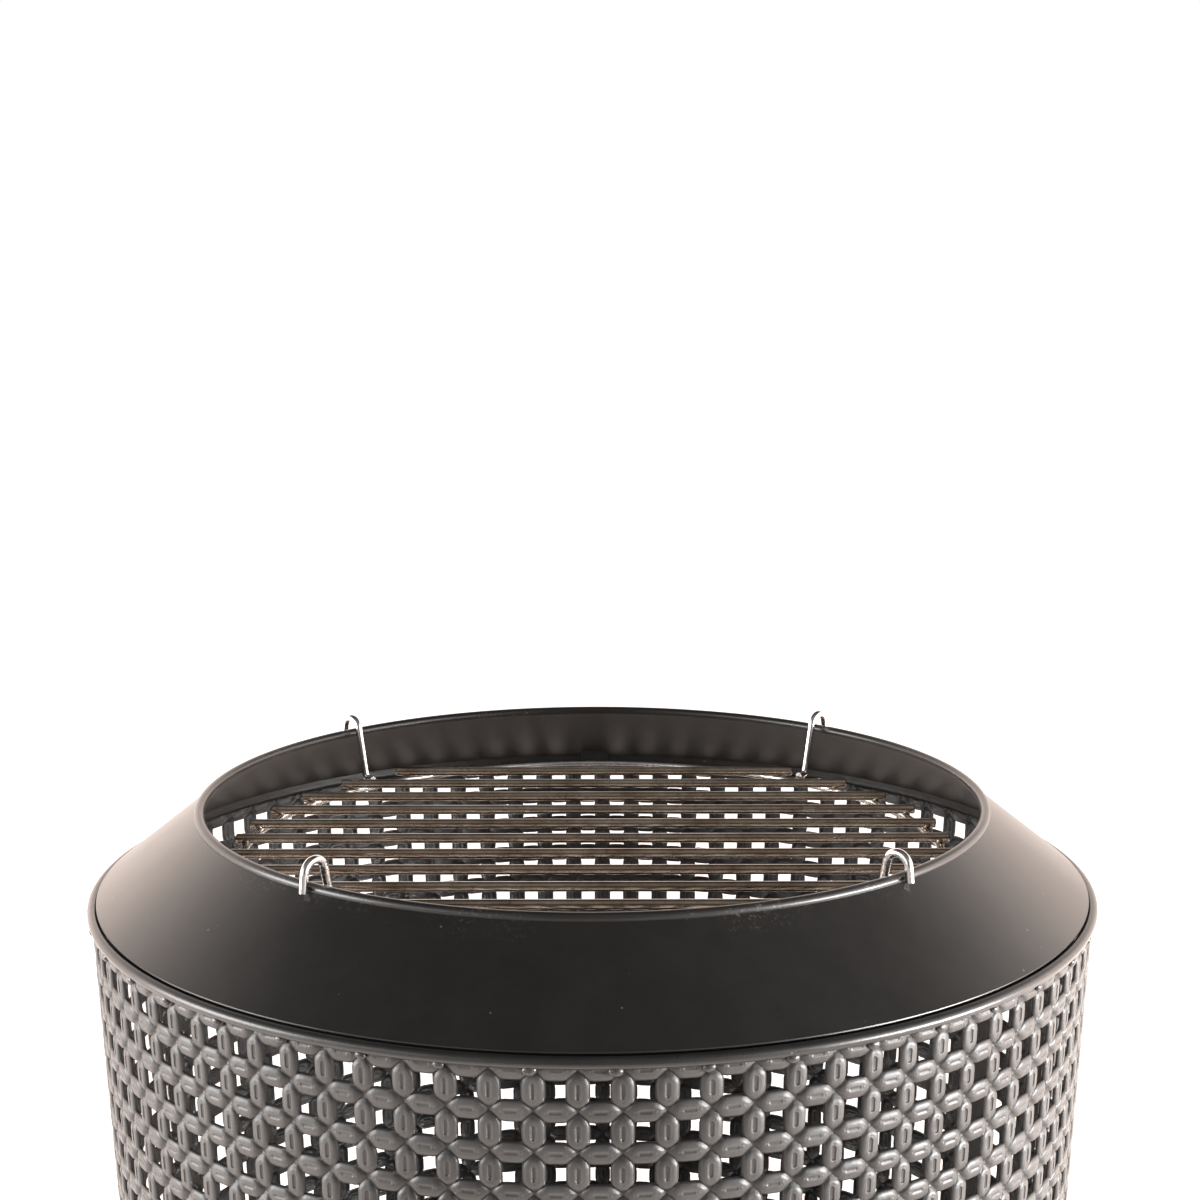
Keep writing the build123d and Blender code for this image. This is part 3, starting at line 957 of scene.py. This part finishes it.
# plain studio: a pale floor and a bright low surround, dark in front and behind above, lit from the
# sides; a pair is (where the change starts, where it ends), in metres on the floor and as a share of
# the way's length in the surround
studio = dict(
    floorHalf=12.0, floorTone=(0.86, 0.83, 0.81, 1), floorSeen=0.90, floorGlow=0.50,
    floorMirrored=1.9, floorFront=0.10, floorFrontFade=(-1.1, -0.35),
    floorRightFade=(0.4, 1.1), floorRearFade=(0.6, 1.6),
    rearTint=(1.0, 0.84, 0.75, 1), frontTint=(1.0, 0.975, 0.965, 1),
    horizon=1.1, mirrorGain=0.9, horizonTop=(0.25, 0.72),
    frontMiddle=0.04, frontSides=(0.20, 0.75), rearStart=(-0.10, 0.25),
    frontHigh=0.12, frontHighFade=(-0.45, -0.15), overhead=0.13, rearSky=0.03, rearSkyFade=(0.12, 0.38),
    leftGain=1.35, leftFade=(-0.7, 0.1), rightGain=2.2, rightFade=(0.55, 0.95),
    panelAim=(0, 0, 0.3),
    panels=dict(
        leftPanel=dict(at=(-2.2, -0.4, 0.55), size=(1.4, 1.0), power=60),
        rightPanel=dict(at=(2.2, -0.8, 0.15), size=(1.4, 0.7), power=175),
    ),
)


def makeFloor():
    mesh = bpy.data.meshes.new("floor")
    half = studio["floorHalf"]
    corners = [(-half, -half, 0), (half, -half, 0), (half, half, 0), (-half, half, 0)]
    mesh.from_pydata(corners, [], [(0, 1, 2, 3)])
    floor = placeObject("floor", mesh)
    material, tree, shader = startMaterial("floorPale", 0.0, 0.8)
    shader.inputs["Base Color"].default_value = studio["floorTone"]
    shader.inputs["Emission Color"].default_value = studio["rearTint"]
    shader.inputs["Emission Strength"].default_value = studio["floorGlow"]
    seen = linkNew(tree, "ShaderNodeEmission")
    seen.inputs["Strength"].default_value = studio["floorSeen"] - studio["floorGlow"]
    both = linkNew(tree, "ShaderNodeAddShader")
    tree.links.new(shader.outputs[0], both.inputs[0])
    tree.links.new(seen.outputs[0], both.inputs[1])
    path = linkNew(tree, "ShaderNodeLightPath")
    spot = addSplit(tree, linkNew(tree, "ShaderNodeTexCoord").outputs["Object"])
    shine = addRange(tree, spot["Y"], *studio["floorFrontFade"],
                     studio["floorFront"], studio["floorMirrored"])
    notRear = addRange(tree, spot["Y"], *studio["floorRearFade"], 1.0, 0.0)
    toRight = addRange(tree, spot["X"], *studio["floorRightFade"], 0.0, studio["rightGain"] - 1)
    toRight = addMath(tree, "MULTIPLY", toRight, notRear)
    shine = addMath(tree, "MULTIPLY", shine, addMath(tree, "ADD", toRight, 1.0))
    mirrored = addRange(tree, path.outputs["Is Glossy Ray"], 0.0, 1.0, studio["floorGlow"], shine)
    tree.links.new(mirrored, shader.inputs["Emission Strength"])
    choose = linkNew(tree, "ShaderNodeMixShader")
    tree.links.new(path.outputs["Is Camera Ray"], choose.inputs[0])
    tree.links.new(shader.outputs[0], choose.inputs[1])
    tree.links.new(both.outputs[0], choose.inputs[2])
    tree.links.new(choose.outputs[0], tree.nodes["Material Output"].inputs[0])
    mesh.materials.append(material)


def makeSurround():
    world = bpy.data.worlds.new("surround")
    bpy.context.scene.world = world
    world.use_nodes = True
    tree = world.node_tree
    tree.nodes.clear()
    way = addSplit(tree, linkNew(tree, "ShaderNodeTexCoord").outputs["Generated"])
    path = linkNew(tree, "ShaderNodeLightPath")
    low = addRange(tree, way["Z"], *studio["horizonTop"], 1.0, 0.0)
    sideways = addRange(tree, addMath(tree, "ABSOLUTE", way["X"], 0.0), *studio["frontSides"],
                        studio["frontMiddle"], 1.0)
    behind = addRange(tree, way["Y"], *studio["rearStart"])
    left = addRange(tree, way["X"], *studio["leftFade"], studio["leftGain"], 1.0)
    right = addRange(tree, way["X"], *studio["rightFade"], 1.0, studio["rightGain"])
    mirrored = addRange(tree, path.outputs["Is Glossy Ray"], 0.0, 1.0, 1.0, 1.0 + studio["mirrorGain"])
    near = addMath(tree, "MAXIMUM", sideways, behind)
    for gain in (left, right, mirrored, studio["horizon"]):
        near = addMath(tree, "MULTIPLY", near, gain)
    above = addRange(tree, way["Y"], *studio["rearSkyFade"], studio["overhead"], studio["rearSky"])
    frontHigh = addRange(tree, way["Y"], *studio["frontHighFade"], studio["frontHigh"], 0.0)
    above = addMath(tree, "ADD", above, frontHigh)
    above = addMath(tree, "MULTIPLY", addMath(tree, "SUBTRACT", 1.0, low), above)
    strength = addMath(tree, "ADD", addMath(tree, "MULTIPLY", low, near), above)
    lighting = linkNew(tree, "ShaderNodeBackground")
    tint = addMix(tree, addMath(tree, "MULTIPLY", behind, low), studio["frontTint"], studio["rearTint"])
    tree.links.new(tint, lighting.inputs["Color"])
    tree.links.new(strength, lighting.inputs["Strength"])
    seen = linkNew(tree, "ShaderNodeBackground")
    seen.inputs["Color"].default_value = (1, 1, 1, 1)
    choose = linkNew(tree, "ShaderNodeMixShader")
    tree.links.new(path.outputs["Is Camera Ray"], choose.inputs[0])
    tree.links.new(lighting.outputs[0], choose.inputs[1])
    tree.links.new(seen.outputs[0], choose.inputs[2])
    tree.links.new(choose.outputs[0], linkNew(tree, "ShaderNodeOutputWorld").inputs[0])


def makeLights():
    aim = Vector(studio["panelAim"])
    for name, panel in studio["panels"].items():
        light = bpy.data.lights.new(name, "AREA")
        light.shape = "RECTANGLE"
        light.size, light.size_y = panel["size"]
        light.energy = panel["power"]
        lamp = placeObject(name, light)
        lamp.location = panel["at"]
        lamp.rotation_euler = (aim - Vector(panel["at"])).to_track_quat("-Z", "Y").to_euler()
        lamp.visible_camera = False


# the camera stands in front, a little to the right, and looks slightly down; above is its height over
# the top ring, and the turns are in radians
lens = dict(focal=66.09, sensor=36.0, right=6.9 * mm, back=1087.9 * mm, above=334.4 * mm,
            yaw=-0.0026, down=0.1725, roll=0.0022)


def makeCamera():
    data = bpy.data.cameras.new("camera")
    data.lens = lens["focal"]
    data.sensor_width = lens["sensor"]
    camera = placeObject("camera", data)
    turn = (Matrix.Rotation(-lens["yaw"], 4, "Z") @ Matrix.Rotation(math.pi / 2 - lens["down"], 4, "X")
            @ Matrix.Rotation(-lens["roll"], 4, "Z"))
    place = Vector((lens["right"], -lens["back"], ringHeight + lens["above"]))
    camera.matrix_world = Matrix.Translation(place) @ turn
    bpy.context.scene.camera = camera


makeFloor()
makeSurround()
makeLights()
makeCamera()
bpy.context.scene.view_settings.view_transform = "Standard"
print("studio ready")

bpy.context.view_layer.update()
